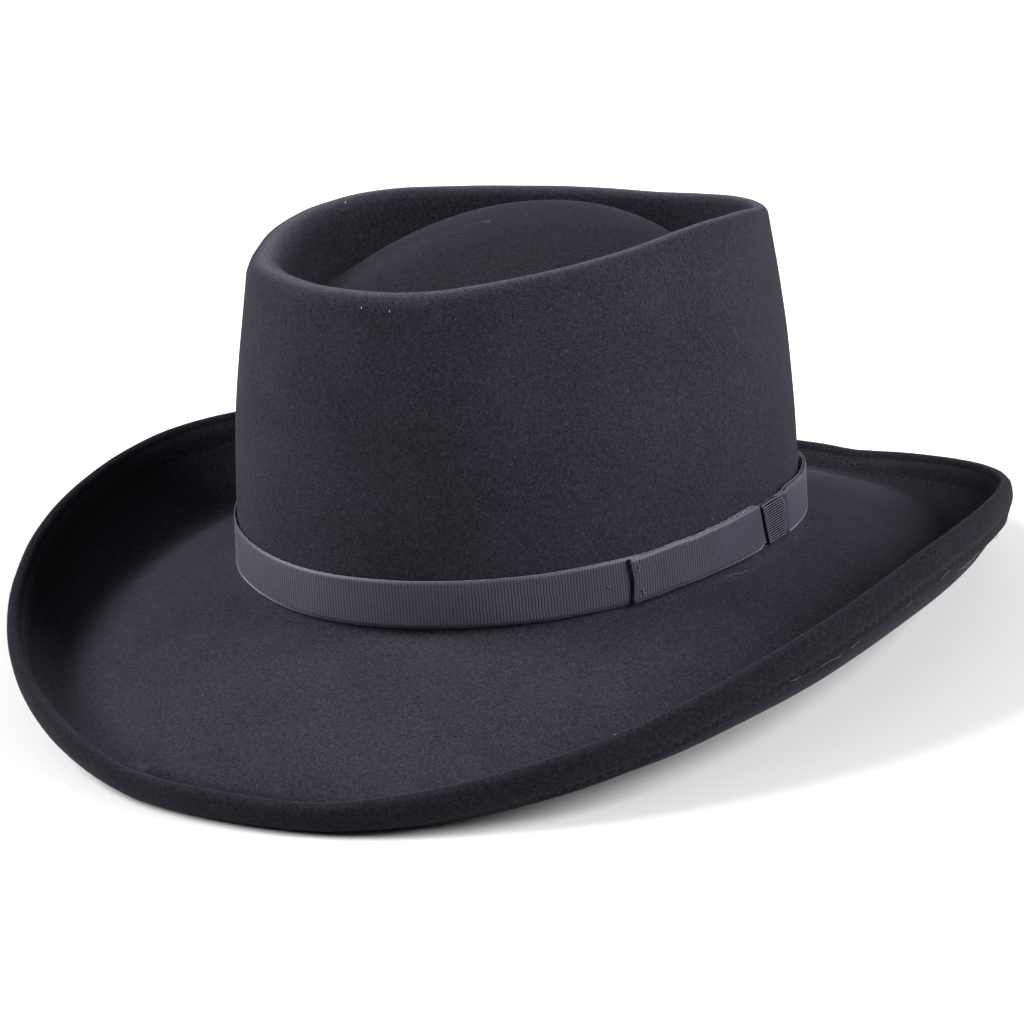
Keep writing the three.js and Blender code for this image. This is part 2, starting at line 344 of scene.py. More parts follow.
def crown_line(angle):
    """The crown's middle line in one section: dome, trough, rim, wall and crease."""
    reach = rim_reach(angle)
    foot = foot_height(angle)
    rise = rim_rise(angle)
    trough = arc(reach - TROUGH_SET, foot + rise - TROUGH_DEPTH + TROUGH_ROUND, TROUGH_ROUND, 235, 340,
                 TROUGH_STEPS)
    points = []
    for i in range(DOME_STEPS):
        share = i / DOME_STEPS
        points.append(Vector((trough[0].x * share, mix(DOME_TOP, trough[0].y, share ** DOME_POWER))))
    roll = RIM_ROLL * form("roll", angle)
    roll_up = rise + RIM_ROLL - roll
    rim = arc(wall_reach(angle, roll_up) - FELT / 2 - roll, foot + roll_up, roll, 160, 5, RIM_STEPS)
    points += trough + line(trough[-1], rim[0], SLOPE_STEPS) + rim
    for i in range(1, WALL_STEPS):
        up = rise * (1 - i / WALL_STEPS)
        points.append(Vector((wall_reach(angle, up) - FELT / 2, foot + up)))
    return points + crease_line(angle)


def crease_line(angle):
    """The soft bend between the crown's wall and the brim."""
    return arc(oval_reach(angle) + CREASE, foot_height(angle), CREASE + FELT / 2, 180, 242, CREASE_STEPS)


def lengths_along(points):
    """How far along the line each of its points lies."""
    lengths = [0.0]
    for before, after in zip(points, points[1:]):
        lengths.append(lengths[-1] + (after - before).length)
    return lengths


class Curl:
    """The brim's curl in one section: an upright quarter of an ellipse, measured by its length."""

    def __init__(self, angle, start):
        lift = max(0.0, form("lift", angle))
        self.width = mix(CURL_TIGHT, CURL_WIDE, lift)
        self.edge = oval_reach(angle) + BRIM_WIDTH * form("brim_reach", angle) - FELT / 2
        self.top = LIP_LOW + LIP_LIFT * lift
        self.height = self.top - TOE_LOW - LIP_LIFT * lift * TOE_SHARE
        slope = (start.y - self.top + self.height) / (self.edge - self.width - start.x)
        begin = -math.pi / 2 - math.atan(slope * self.width / self.height)
        turns = [mix(begin, 0.0, i / CURL_FINE_STEPS) for i in range(CURL_FINE_STEPS + 1)]
        self.points = [self.at(turn) for turn in turns]
        self.lengths = lengths_along(self.points)

    def at(self, turn):
        """The point at a turn round the ellipse."""
        return Vector((self.edge - self.width + self.width * math.cos(turn),
                       self.top + self.height * math.sin(turn)))

    def way_out(self, length):
        """The way to the upper side, square to the curl."""
        along = self.along(length + 0.4) - self.along(length - 0.4)
        return Vector((-along.y, along.x)).normalized()

    def along(self, length):
        """The point at a length from where the curl begins."""
        for i, reached in enumerate(self.lengths[1:]):
            if reached >= length - 1e-9:
                step = reached - self.lengths[i]
                return self.points[i].lerp(self.points[i + 1], (length - self.lengths[i]) / step)
        return self.points[-1]


def brim_line(angle, start):
    """The brim's middle line in one section, from the crease to the edge."""
    curl = Curl(angle, start)
    points = line(start, curl.points[0], BRIM_STEPS)
    for i, point in enumerate(points):
        point.y += BRIM_SWELL * math.sin(math.pi * (i + 1) / BRIM_STEPS)
    whole = curl.lengths[-1]
    for i in range(CURL_STEPS):
        points.append(curl.along((whole - TURN_POINTS[0]) * i / CURL_STEPS))
    return points + [curl.along(whole - back) for back in TURN_POINTS]


def side_steps(points):
    """For each point, the way to its left, square to the line."""
    ways = []
    for i in range(len(points)):
        along = points[min(i + 1, len(points) - 1)] - points[max(i - 1, 0)]
        ways.append(Vector((-along.y, along.x)).normalized())
    ways[0] = Vector((0.0, 1.0))
    return ways


def stitch_in(angle):
    """How far in from the edge the stitches run."""
    return STITCH_IN + STITCH_WANDER * math.cos(angle + STITCH_WANDER_TURN)


def felt_section(angle):
    """The felt's whole section: inside, folded edge and face.

    Each spot has its place and its shares of crest, edge and sunk top, which carry the painted highlight and
    the painted shade.
    """
    crown = crown_line(angle)
    middle = crown + brim_line(angle, crown[-1])
    ways = side_steps(middle)
    lengths = lengths_along(middle)
    turned = len(middle) - len(TURN_POINTS)
    stitches = stitch_in(angle)
    face = []
    inside = []
    for i, (point, way) in enumerate(zip(middle, ways)):
        over = under = FELT / 2
        layer = 0.0
        in_from_edge = lengths[-1] - lengths[i]
        crest = hump(i, CREST_PLACE, CREST_WIDTH)
        edge = EDGE_SHADE * (1.0 - smooth(*EDGE_SHADE_ENDS, in_from_edge))
        sunk = 1.0 - smooth(*SUNK_ENDS, i)
        if i > turned:
            back = TURN_POINTS[i - turned]
            dent = hump(back, stitches, STITCH_DENT_WIDTH)
            puff = EDGE_PUFF * math.sin(math.pi * min(back / stitches, 1.0))
            layer = 1.0 - smooth(TURN_IN - 1.0, TURN_IN + 2.4, back)
            over += puff - STITCH_DENT * dent
            under += layer * (FELT + puff - STITCH_DENT * dent)
            crest = 1.0 - smooth(0.0, EDGE_CREST, back)
        face.append((point + way * over, crest, edge, sunk))
        below = 1.0 - smooth(*UNDER_SHADE_ENDS, in_from_edge)
        inside.append((point - way * under, crest if i > turned else 0.0, max(layer, below), 0.0))
    last = middle[-1]
    fold = arc(last.x + FELT / 2, last.y, FELT, 0, 180, FOLD_STEPS)[1:-1]
    return inside + [(spot, 1.0, 1.0, 0.0) for spot in fold] + face[::-1]


def felt_wave(point):
    """How far the soft felt is off its true form here."""
    off = Vector((0.0, 0.0, 0.0))
    for size, amount in FELT_WAVES:
        off += noise.noise_vector(point / size) * amount
    return off


def push_dome_back(angle, reach, height, point):
    """The dome's top lies behind the middle: a point inside the trough moves back, most at the top."""
    share = reach / (rim_reach(angle) - TROUGH_SET)
    if share < 1 and height > foot_height(angle) + rim_rise(angle) - TROUGH_DEPTH - FELT:
        point.y += DOME_BACK * (1 - share * share)


def felt_point(angle, spot):
    """A section's spot in its place round the hat. Where the felt rests, it lies flat."""
    point = Vector((spot.x * math.sin(angle), -spot.x * math.cos(angle), spot.y))
    push_dome_back(angle, spot.x, spot.y, point)
    point += felt_wave(point) * smooth(0.0, FELT_LIES_FLAT, point.z)
    point.z = max(point.z, 0.0)
    return (point + OVAL_MIDDLE) * MM


# Meshes


def finished(name, bm, look, node=None):
    """A bmesh as a piece of the hat."""
    mesh = bpy.data.meshes.new(name)
    for face in bm.faces:
        face.smooth = True
    bm.to_mesh(mesh)
    bm.free()
    piece = bpy.data.objects.new(name, mesh)
    bpy.context.scene.collection.objects.link(piece)
    mesh.materials.append(look)
    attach(piece, "root")
    if node:
        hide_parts(node)
    return piece


def spun(chain, steps):
    """A chain of spots spun into a ring. Each vertex keeps its number in the chain and its step."""
    bm = bmesh.new()
    row = bm.verts.layers.int.new("row")
    verts = []
    for index, spot in enumerate(chain):
        vert = bm.verts.new((0.0, -spot.x, spot.y))
        vert[row] = index
        verts.append(vert)
    edges = [bm.edges.new(pair) for pair in zip(verts, verts[1:])]
    bmesh.ops.spin(bm, geom=verts + edges, cent=(0, 0, 0), axis=(0, 0, 1), angle=2 * math.pi,
                   steps=steps, use_merge=True)
    bmesh.ops.remove_doubles(bm, verts=bm.verts, dist=1e-5)
    step = bm.verts.layers.int.new("step")
    for vert in bm.verts:
        turn = math.atan2(vert.co.x, -vert.co.y) / (2 * math.pi) % 1.0
        vert[step] = round(turn * steps) % steps
    return bm


def felt_mesh():
    sections = [felt_section(2 * math.pi * i / FELT_STEPS) for i in range(FELT_STEPS)]
    bm = spun([spots[0] for spots in sections[0]], FELT_STEPS)
    for name in FELT_SHARES:
        bm.verts.layers.float.new(name)
    shares = [bm.verts.layers.float[name] for name in FELT_SHARES]
    row, step = bm.verts.layers.int["row"], bm.verts.layers.int["step"]
    for vert in bm.verts:
        spot, *values = sections[vert[step]][vert[row]]
        for share, value in zip(shares, values):
            vert[share] = value
        vert.co = felt_point(2 * math.pi * vert[step] / FELT_STEPS, spot)
    bmesh.ops.recalc_face_normals(bm, faces=bm.faces)
    return bm


def weave(vert, layers, column, across, strength, shade):
    """Marks a ribbon's vertex with its rib, selvedge and shade, and gives the rib's height."""
    rib, selvedge, shaded = layers
    selvedge_share = SELVEDGE / RIBBON_WIDTH
    edge = smooth(1.0 - 2.2 * selvedge_share, 1.0 - 0.8 * selvedge_share, abs(across))
    vert[rib] = mix(RIB_FLAT, RIB_CREST[column % RIB_COLUMNS], (1 - edge) * strength)
    vert[selvedge] = edge
    vert[shaded] = shade
    return RIB_HEIGHT * (vert[rib] - 0.5)


def ribbon_across(share):
    """Rows lie closer together at the selvedges."""
    return math.sin(math.pi * (share - 0.5)) * 0.35 + (2 * share - 1) * 0.65


def plain_marks(share, across):
    """How strong the ribs are and how shaded the ribbon is, from 0 to 1."""
    return 1.0, 0.0


def ribbon_mesh(ribs, place, marks=plain_marks, closed=False):
    """A strip or loop of ribbon.

    place gives a point from the share along, the share across from -1 to 1, and the height.
    """
    columns = ribs * RIB_COLUMNS
    bm = bmesh.new()
    bmesh.ops.create_grid(bm, x_segments=columns, y_segments=RIBBON_ROWS - 1, size=1.0)
    for name in RIBBON_SHARES:
        bm.verts.layers.float.new(name)
    layers = [bm.verts.layers.float[name] for name in RIBBON_SHARES]
    for vert in bm.verts:
        share = (vert.co.x + 1) / 2
        across = ribbon_across((vert.co.y + 1) / 2)
        height = weave(vert, layers, round(share * columns), across, *marks(share, across))
        vert.co = place(share, across, height)
    if closed:
        bmesh.ops.remove_doubles(bm, verts=bm.verts, dist=1e-6)
    bmesh.ops.recalc_face_normals(bm, faces=bm.faces)
    return bm


def strands(paths, sides):
    """Thin closed threads.

    Each path is a list of (point, thickness) in metres, with no thickness at both ends.
    """
    rows = len(paths[0])
    columns = len(paths) * (sides + 1)
    bm = bmesh.new()
    column = bm.verts.layers.int.new("column")
    bmesh.ops.create_grid(bm, x_segments=columns - 1, y_segments=rows - 1, size=1.0)
    for vert in bm.verts:
        vert[column] = round((vert.co.x + 1) / 2 * (columns - 1))
        row = round((vert.co.y + 1) / 2 * (rows - 1))
        path = paths[vert[column] // (sides + 1)]
        point, thickness = path[row]
        along = (path[min(row + 1, rows - 1)][0] - path[max(row - 1, 0)][0]).normalized()
        aside = along.orthogonal().normalized()
        turn = 2 * math.pi * (vert[column] % (sides + 1)) / sides
        vert.co = point + (aside * math.cos(turn) + along.cross(aside) * math.sin(turn)) * thickness / 2
    between = [face for face in bm.faces
               if min(vert[column] for vert in face.verts) % (sides + 1) == sides]
    bmesh.ops.delete(bm, geom=between, context="FACES")
    bmesh.ops.remove_doubles(bm, verts=bm.verts, dist=2e-6)
    bmesh.ops.recalc_face_normals(bm, faces=bm.faces)
    return bm


def thickened(piece, offset):
    """Gives a ribbon its cloth: offset -1 lays it inside the mesh, and 0 on both sides of it."""
    wall = piece.modifiers.new("thickness", "SOLIDIFY")
    wall.thickness = RIBBON_CLOTH * MM
    wall.offset = offset
    wall.use_even_offset = False


def beside_crown(angle, up, out):
    """A point beside the crown's wall: up from its foot, out from its face."""
    reach = wall_reach(angle, up) + out
    point = Vector((reach * math.sin(angle), -reach * math.cos(angle), foot_height(angle) + up))
    return (point + felt_wave(point) + OVAL_MIDDLE) * MM


def band_point(share, across, height):
    angle = 2 * math.pi * share
    under = band_marks(share, across)[1]
    up = BAND_LIFT + RIBBON_WIDTH * (across + 1) / 2 + BAND_DRAWN_UP * under
    slack = RIBBON_SLACK * noise.noise(Vector((math.cos(angle), math.sin(angle), across)) * 6.0)
    out = GAP + RIBBON + height + slack * across * across - BAND_TUCK * under
    return beside_crown(angle, up, out)


def band_marks(share, across):
    """The strip of band below the bow lies in its shadow."""
    along = (2 * math.pi * share - BOW_ANGLE) * oval_reach(BOW_ANGLE)
    under_wings = 1 - smooth(WING_LENGTH - 3.0, WING_LENGTH + 1.0, abs(along))
    return 1.0, under_wings * (1 - smooth(-0.4, 0.0, across))


def felt_places(felt, count, chance, likely):
    """Random places on the felt, with the way out of it.

    likely turns a face's share of crest into a weight.
    """
    mesh = felt.data
    crests = mesh.attributes["crest"].data
    faces = [face for face in mesh.polygons if len(face.vertices) == 4]
    weights = [face.area * likely(crests[face.vertices[0]].value) for face in faces]
    places = []
    for face in chance.choices(faces, weights, k=count):
        a, b, c, d = (mesh.vertices[i].co for i in face.vertices)
        u, v = chance.random(), chance.random()
        places.append((a.lerp(b, u).lerp(d.lerp(c, u), v), face.normal.copy()))
    return places


def hair(place, chance, length, thickness, lift):
    """One hair's path: out of the felt by its share of lift, bent over and thinner towards its tip."""
    root, out = place
    aside = Vector([chance.gauss(0.0, 1.0) for _ in range(3)]).normalized()
    lying = (aside - out * aside.dot(out)).normalized()
    way = (out * lift + lying * (1.0 - lift)).normalized()
    bend = Vector([chance.gauss(0.0, 1.0) for _ in range(3)]).normalized() * HAIR_BEND
    path = [(root - way * HAIR_ROOT * MM, 0.0)]
    for share in HAIR_SHARES:
        spot = root + (way + bend * share * share) * share * length * MM
        spot.z = max(spot.z, HAIR_FLOOR * MM)
        path.append((spot, thickness * (1.0 - share) * MM))
    return path


def hairs(felt, seed, count, likely, length, thickness, lift):
    chance = random.Random(seed)
    places = felt_places(felt, count, chance, likely)
    paths = [hair(place, chance, length * chance.uniform(*HAIR_LENGTHS), thickness, chance.uniform(*lift))
             for place in places]
    return strands(paths, 3)


def all_over(crest):
    """Hairs grow everywhere, and more of them on the crests."""
    return 0.3 + crest


def on_crests(crest):
    return crest ** 2


def on_band(along, up, out):
    """A point on the band's face.

    It lies along from the bow's middle, up from the crown's foot and out from the face.
    """
    angle = BOW_ANGLE + along / oval_reach(BOW_ANGLE)
    held = min(max(up, BAND_LIFT), BAND_LIFT + RIBBON_WIDTH)
    reach = wall_reach(angle, held) + FACE_OUT + out
    point = Vector((reach * math.sin(angle), -reach * math.cos(angle), foot_height(angle) + up))
    return (point + felt_wave(point) + OVAL_MIDDLE) * MM


def bow_middle(along):
    return BAND_LIFT + RIBBON_WIDTH / 2 + BOW_RISE * (1 - (along / WING_LENGTH) ** 2)


def keeper_sides(up):
    """The keeper's left and right side at a height."""
    for below, above in zip(KEEPER_SIDES, KEEPER_SIDES[1:]):
        if up <= above[0] or above is KEEPER_SIDES[-1]:
            share = (up - below[0]) / (above[0] - below[0])
            return mix(below[1], above[1], share), mix(below[2], above[2], share)


def wing_out(along, up):
    """How far the bow's outer layer stands off the band: held down by the keeper, puffed beside it."""
    distance = abs(along)
    left, right = keeper_sides(min(max(up, KEEPER_SIDES[0][0]), KEEPER_SIDES[-1][0]))
    beyond = left - along if along < 0 else along - right
    gap = mix(KEEPER_GAP_FOOT, KEEPER_GAP_TOP, smooth(4.0, 14.0, up))
    flat = WING_THICK - RIBBON_CLOTH / 2
    free = mix(flat + WING_PUFF, flat, smooth(*WING_PUFF_ENDS, distance))
    return mix(WING_HELD, free, smooth(gap - 0.6, gap + 1.2, beyond))


def bow_up(along, across):
    """Height of the bow above the crown's foot: drawn in by the keeper and flared beside it."""
    distance = abs(along)
    drawn = 1 - smooth(*PINCH_ENDS, distance)
    pinch = PINCH * drawn * (PINCH_TOP if across > 0 else PINCH_FOOT) * (1.0 if along < 0 else PINCH_RIGHT)
    flare = WING_FLARE * hump(distance, WING_FLARE_AT, WING_FLARE_WIDTH) * smooth(0.0, 1.0, across)
    wave = WING_WAVE * noise.noise(Vector((along / WING_WAVE_SIZE, across, 3.0)))
    wave *= smooth(*WING_WAVE_ENDS, distance)
    return bow_middle(along) + across * (BOW_WIDTH / 2 - pinch) + flare + wave


def bow_point(share, across, height):
    """The bow is one flat loop: its outer layer runs back to front, its inner layer returns."""
    inner = RIBBON_CLOTH / 2
    flat = 2 * WING_LENGTH
    spot = share * BOW_LENGTH
    if spot < flat:
        along = WING_LENGTH - spot
        out = wing_out(along, bow_up(along, across)) + height
    elif spot < flat + BOW_BEND:
        turn = math.pi * (spot - flat) / BOW_BEND
        outer = wing_out(-WING_LENGTH, BOW_BEND_UP)
        along = -WING_LENGTH - BOW_BEND_OUT * math.sin(turn)
        out = mix(inner, outer, (1 + math.cos(turn)) / 2) + height * math.cos(turn)
    elif spot < 2 * flat + BOW_BEND:
        along = spot - flat - BOW_BEND - WING_LENGTH
        out = inner - height
    else:
        turn = math.pi * (spot - 2 * flat - BOW_BEND) / BOW_BEND
        outer = wing_out(WING_LENGTH, BOW_BEND_UP)
        along = WING_LENGTH + BOW_BEND_OUT * math.sin(turn)
        out = mix(outer, inner, (1 + math.cos(turn)) / 2) - height * math.cos(turn)
    up = bow_up(along, across)
    ragged = WING_RAGGED * noise.noise(Vector((across * 2.0, along / 20.0, 7.0)))
    along += math.copysign((WING_SLANT * across + ragged) * (abs(along) / WING_LENGTH) ** 8, along)
    return on_band(along, up, out)


def bow_marks(share, across):
    """The ribs are pulled flat beside the keeper."""
    along = WING_LENGTH - share * BOW_LENGTH
    return mix(WING_RIBS, 1.0, smooth(*WING_RIBS_ENDS, abs(along))), 0.0


def keeper_outline():
    """The keeper's path as (up, out) from behind its top, over the bow, to behind its foot."""
    centre = KEEPER_OUT - KEEPER_ROUND
    points = [Vector((KEEPER_TOP, -0.6)), Vector((KEEPER_TOP, 0.2))]
    points += arc(KEEPER_TOP - KEEPER_ROUND, centre, KEEPER_ROUND, 0, 90, 6)
    points += line(points[-1], Vector((KEEPER_FOOT + KEEPER_ROUND, KEEPER_OUT)), 12)
    points += arc(KEEPER_FOOT + KEEPER_ROUND, centre, KEEPER_ROUND, 90, 180, 6)
    points += [Vector((KEEPER_FOOT, 0.3)), Vector((KEEPER_FOOT, 0.1))]
    return points


KEEPER_PATH = keeper_outline()


def path_spot(points, share):
    """The point at a share of a path's length, and the way square to it."""
    lengths = lengths_along(points)
    length = share * lengths[-1]
    for i, reached in enumerate(lengths[1:]):
        if reached >= length - 1e-9:
            along = points[i + 1] - points[i]
            spot = points[i].lerp(points[i + 1], (length - lengths[i]) / along.length)
            return spot, Vector((-along.y, along.x)).normalized()
    return points[-1], Vector((0.0, 1.0))


def keeper_point(share, across, height):
    spot, way = path_spot(KEEPER_PATH, share)
    spot = spot + way * height * KEEPER_RIB_HEIGHT / RIB_HEIGHT
    left, right = keeper_sides(spot.x)
    sag = KEEPER_SAG * across * across
    up = spot.x - sag * smooth(6.0, 14.0, spot.x)
    return on_band(mix(left, right, (across + 1) / 2), up, spot.y - 0.2 * sag)


# Looks

FELT_DARK = (0.0038, 0.0036, 0.0053, 1.0)
FELT_LIGHT = (0.0245, 0.0235, 0.0325, 1.0)
FELT_FLECK = (0.10, 0.10, 0.12, 1.0)
FELT_CREST_HIGHLIGHT = (0.056, 0.054, 0.068, 1.0)
FELT_SHADE = (0.001, 0.0009, 0.0017, 1.0)
FELT_SHEEN = (0.46, 0.455, 0.6, 1.0)
FELT_HAIR = (0.032, 0.031, 0.040, 1.0)
BAND_DARK = (0.006, 0.0055, 0.009, 1.0)
BAND_LIGHT = (0.046, 0.0435, 0.065, 1.0)
KEEPER_DARK = (0.0004, 0.0004, 0.0007, 1.0)
KEEPER_LIGHT = (0.120, 0.113, 0.162, 1.0)
KEEPER_DEPTH = 0.75
RIBBON_SHADE = (0.001, 0.0009, 0.0014, 1.0)
RIBBON_SHEEN = (0.74, 0.72, 0.92, 1.0)
EDGE_COLOUR = (0.008, 0.0075, 0.011, 1.0)
LOOSE_COLOUR = (0.08, 0.079, 0.097, 1.0)
TACK_COLOUR = (0.085, 0.08, 0.11, 1.0)
LINT_COLOUR = (0.35, 0.35, 0.38, 1.0)
FLOOR_COLOUR = (0.55, 0.55, 0.55, 1.0)


def times(colour, factor):
    return tuple(part * factor for part in colour[:3]) + (1.0,)


class Value:
    """A number that varies over a surface. Reckoning with it adds Math nodes."""

    def __init__(self, look, socket):
        self.look = look
        self.socket = socket

    def math(self, operation, *values, swap=False):
        values = (self, *values)
        if swap:
            values = values[::-1]
        made = self.look.node("ShaderNodeMath", {"operation": operation}, dict(enumerate(values)))
        return Value(self.look, made.outputs[0])

    def __add__(self, other):
        return self.math("ADD", other)

    def __sub__(self, other):
        return self.math("SUBTRACT", other)

    def __mul__(self, other):
        return self.math("MULTIPLY", other)

    def __rsub__(self, other):
        return self.math("SUBTRACT", other, swap=True)

    __radd__ = __add__
    __rmul__ = __mul__

    def over(self, low, high):
        """0 below low, 1 above high, soft between them."""
        made = self.look.node("ShaderNodeMapRange", {"interpolation_type": "SMOOTHSTEP"},
                              {"Value": self, "From Min": low, "From Max": high})
        return Value(self.look, made.outputs["Result"])


class Look:
    """A material: its constants are set on the shader, and its patterns are fed to it."""

    def __init__(self, name, constants):
        self.material = bpy.data.materials.new(name)
        self.material.use_nodes = True
        self.tree = self.material.node_tree
        self.shader = self.tree.nodes["Principled BSDF"]
        for socket, value in constants.items():
            self.shader.inputs[socket].default_value = value
        self.place = self.node("ShaderNodeTexCoord", {}, {}).outputs["Object"]

    def node(self, kind, settings, sockets):
        made = self.tree.nodes.new(kind)
        for name, value in settings.items():
            setattr(made, name, value)
        for name, value in sockets.items():
            self.feed(made.inputs[name], value)
        return made

    def feed(self, socket, value):
        if isinstance(value, Value):
            value = value.socket
        if isinstance(value, bpy.types.NodeSocket):
            self.tree.links.new(value, socket)
        else:
            socket.default_value = value

    def noise(self, size, detail=2.0, rough=0.5):
        """Soft noise whose lumps are about size millimetres."""
        made = self.node("ShaderNodeTexNoise", {}, {
            "Vector": self.place, "Scale": 1.0 / (size * MM), "Detail": detail, "Roughness": rough})
        return Value(self, made.outputs["Fac"])

    def attribute(self, name):
        made = self.node("ShaderNodeAttribute", {"attribute_name": name}, {})
        return Value(self, made.outputs["Fac"])

    def blend(self, share, first, second):
        made = self.node("ShaderNodeMix", {"data_type": "RGBA"}, {0: share, 6: first, 7: second})
        return made.outputs[2]

    def bump(self, height, distance, strength, under=None):
        sockets = {"Height": height, "Distance": distance * MM, "Strength": strength}
        if under:
            sockets["Normal"] = under
        return self.node("ShaderNodeBump", {}, sockets).outputs["Normal"]

    def dress(self, socket, value):
        self.feed(self.shader.inputs[socket], value)


def felt_look():
    look = Look("felt_charcoal", {
        "Sheen Weight": 0.06,
        "Sheen Roughness": 0.4,
        "Sheen Tint": FELT_SHEEN,
        "Specular IOR Level": 0.05,
    })
    nap = look.noise(0.5, 3.0, 0.65)
    tuft = look.noise(1.3, 2.0, 0.6)
    cloud = look.noise(24.0, 2.0)
    crest, edge, sunk = (look.attribute(name) for name in FELT_SHARES)
    tone = nap.over(0.3, 0.7) * 0.64 + tuft.over(0.3, 0.7) * 0.26 + cloud.over(0.3, 0.7) * 0.10
    colour = look.blend(tone, FELT_DARK, FELT_LIGHT)
    fleck = look.noise(1.1, 1.0, 0.4).over(0.74, 0.80)
    colour = look.blend(fleck * 0.25, colour, FELT_FLECK)
    # Painted highlight: a light line along the crests of the rim and the edge, weaker where the edge is
    # darkened
    colour = look.blend(crest * (1 - edge) * 0.8 * nap.over(0.3, 0.6), colour, FELT_CREST_HIGHLIGHT)
    uneven = 1.2 - nap.over(0.3, 0.7) * 0.24 - tuft.over(0.3, 0.7) * 0.24
    # Painted shade: darker towards the edge, on the face and more underneath, and over the sunk top inside
    # the rim
    colour = look.blend((edge * 0.58 + sunk * 0.71) * uneven, colour, FELT_SHADE)
    look.dress("Base Color", colour)
    look.dress("Roughness", 0.88 + 0.1 * nap)
    fibres = look.noise(0.32, 2.0, 0.6)
    coarse = look.bump(tuft, 0.3, 0.3)
    look.dress("Normal", look.bump(fibres * 0.4 + nap * 0.6, 0.28, 0.6, coarse))
    return look.material


def ribbon_look(name, dark, light, depth):
    """Ribbed ribbon, whose grooves between the ribs are darkened as painted shade. depth is how far the
    grooves go dark, from 0 to 1.
    """
    look = Look(name, {
        "Sheen Weight": 0.3 * (1 - depth),
        "Sheen Roughness": 0.3,
        "Sheen Tint": RIBBON_SHEEN,
        "Specular IOR Level": 0.3 * (1 - depth),
    })
    rib, selvedge, shade = (look.attribute(name) for name in RIBBON_SHARES)
    grain = look.noise(0.35, 2.0, 0.6)
    cloud = look.noise(14.0, 2.0)
    # Painted shade: the tone follows the ribs' height, so the grooves between them are darker
    tone = rib * (0.55 + 0.4 * depth) + grain * 0.25 + cloud * 0.2
    colour = look.blend(tone.over(0.1 + 0.66 * depth, 1.0), dark, light)
    colour = look.blend(selvedge * (1 - shade) * 0.22, colour, times(light, 1.2))
    colour = look.blend(shade, colour, RIBBON_SHADE)
    look.dress("Base Color", colour)
    look.dress("Roughness", 0.45 + 0.2 * grain + 0.6 * shade)
    look.dress("Normal", look.bump(grain, 0.12, 0.5))
    return look.material


def thread_look(name, colour):
    look = Look(name, {"Specular IOR Level": 0.1})
    grain = look.noise(0.3, 2.0)
    look.dress("Base Color", look.blend(grain, times(colour, 0.6), colour))
    look.dress("Roughness", 0.55 + 0.2 * grain)
    return look.material


felt_cloth = felt_look()
felt_hair = thread_look("felt_hair", FELT_HAIR)
band_cloth = ribbon_look("grosgrain_band", BAND_DARK, BAND_LIGHT, 0.0)
keeper_cloth = ribbon_look("grosgrain_keeper", KEEPER_DARK, KEEPER_LIGHT, KEEPER_DEPTH)
edge_thread = thread_look("thread_dark", EDGE_COLOUR)
light_thread = thread_look("thread_light", LOOSE_COLOUR)
tack_thread = thread_look("thread_tack", TACK_COLOUR)
lint_fluff = thread_look("lint", LINT_COLOUR)

# The hat's pieces

felt = finished("felt_crown_and_brim", felt_mesh(), felt_cloth, "felt_body")
nap = hairs(felt, 1, 7000, all_over, length=1.2, thickness=0.06, lift=(0.0, 0.45))
finished("felt_nap", nap, felt_hair)
fuzz = hairs(felt, 2, 12000, on_crests, length=0.8, thickness=0.05, lift=(0.35, 1.0))
finished("felt_fuzz", fuzz, felt_hair)
fluff = hairs(felt, 3, 45, all_over, length=1.5, thickness=0.12, lift=(0.0, 0.4))
finished("lint_hairs", fluff, lint_fluff)

band_length = math.pi * (OVAL_LONG + OVAL_WIDE)
band_mesh = ribbon_mesh(round(band_length / BAND_RIB), band_point, band_marks, closed=True)
thickened(finished("ribbon_band", band_mesh, band_cloth, "hat_band"), -1.0)

bow_mesh = ribbon_mesh(round(BOW_LENGTH / BOW_RIB), bow_point, bow_marks, closed=True)
thickened(finished("bow_wings", bow_mesh, band_cloth, "bow"), 0.0)

keeper_length = lengths_along(KEEPER_PATH)[-1]
keeper_mesh = ribbon_mesh(round(keeper_length / KEEPER_RIB), keeper_point)
thickened(finished("bow_keeper_strip", keeper_mesh, keeper_cloth, "bow_keeper"), 0.0)

# Stitches along the turned-in edge


def edge_spot(angle, side):
    """A point in the stitch line's dent, on the face (side 1) or underneath (side -1)."""
    curl = Curl(angle, crease_line(angle)[-1])
    reached = curl.lengths[-1] - stitch_in(angle)
    out = FELT / 2 - STITCH_SINK if side > 0 else STITCH_SINK - 1.5 * FELT
    return felt_point(angle, curl.along(reached) + curl.way_out(reached) * out)


def edge_stitches():
    """A row of stitches on the face and one underneath, each a little off its place."""
    chance = random.Random(4)
    paths = []
    for side in (1, -1):
        ring = [edge_spot(2 * math.pi * i / RING_STEPS, side) for i in range(RING_STEPS)]
        lengths = lengths_along(ring + ring[:1])
        count = round(lengths[-1] / ((STITCH_LENGTH + STITCH_SPACE) * MM))
        index = 0
        for stitch in range(count):
            middle = (stitch + 0.5 * (side > 0) + chance.uniform(0.0, 0.12)) / count * lengths[-1]
            while index < len(ring) - 1 and lengths[index + 1] < middle:
                index += 1
            here = ring[index]
            after = ring[(index + 1) % len(ring)]
            along = (after - here).normalized()
            spot = here.lerp(after, (middle - lengths[index]) / (lengths[index + 1] - lengths[index]))
            half = along * STITCH_LENGTH * chance.uniform(0.38, 0.55) * MM
            half += Vector((0.0, 0.0, chance.uniform(-0.18, 0.18) * MM))
            thick = STITCH_THREAD * MM
            paths.append([
                (spot - half, 0.0),
                (spot - half * 0.8, thick),
                (spot, thick),
                (spot + half * 0.8, thick),
                (spot + half, 0.0),
            ])
    return strands(paths, 5)


finished("edge_stitches", edge_stitches(), edge_thread)

# Loose threads and tacks


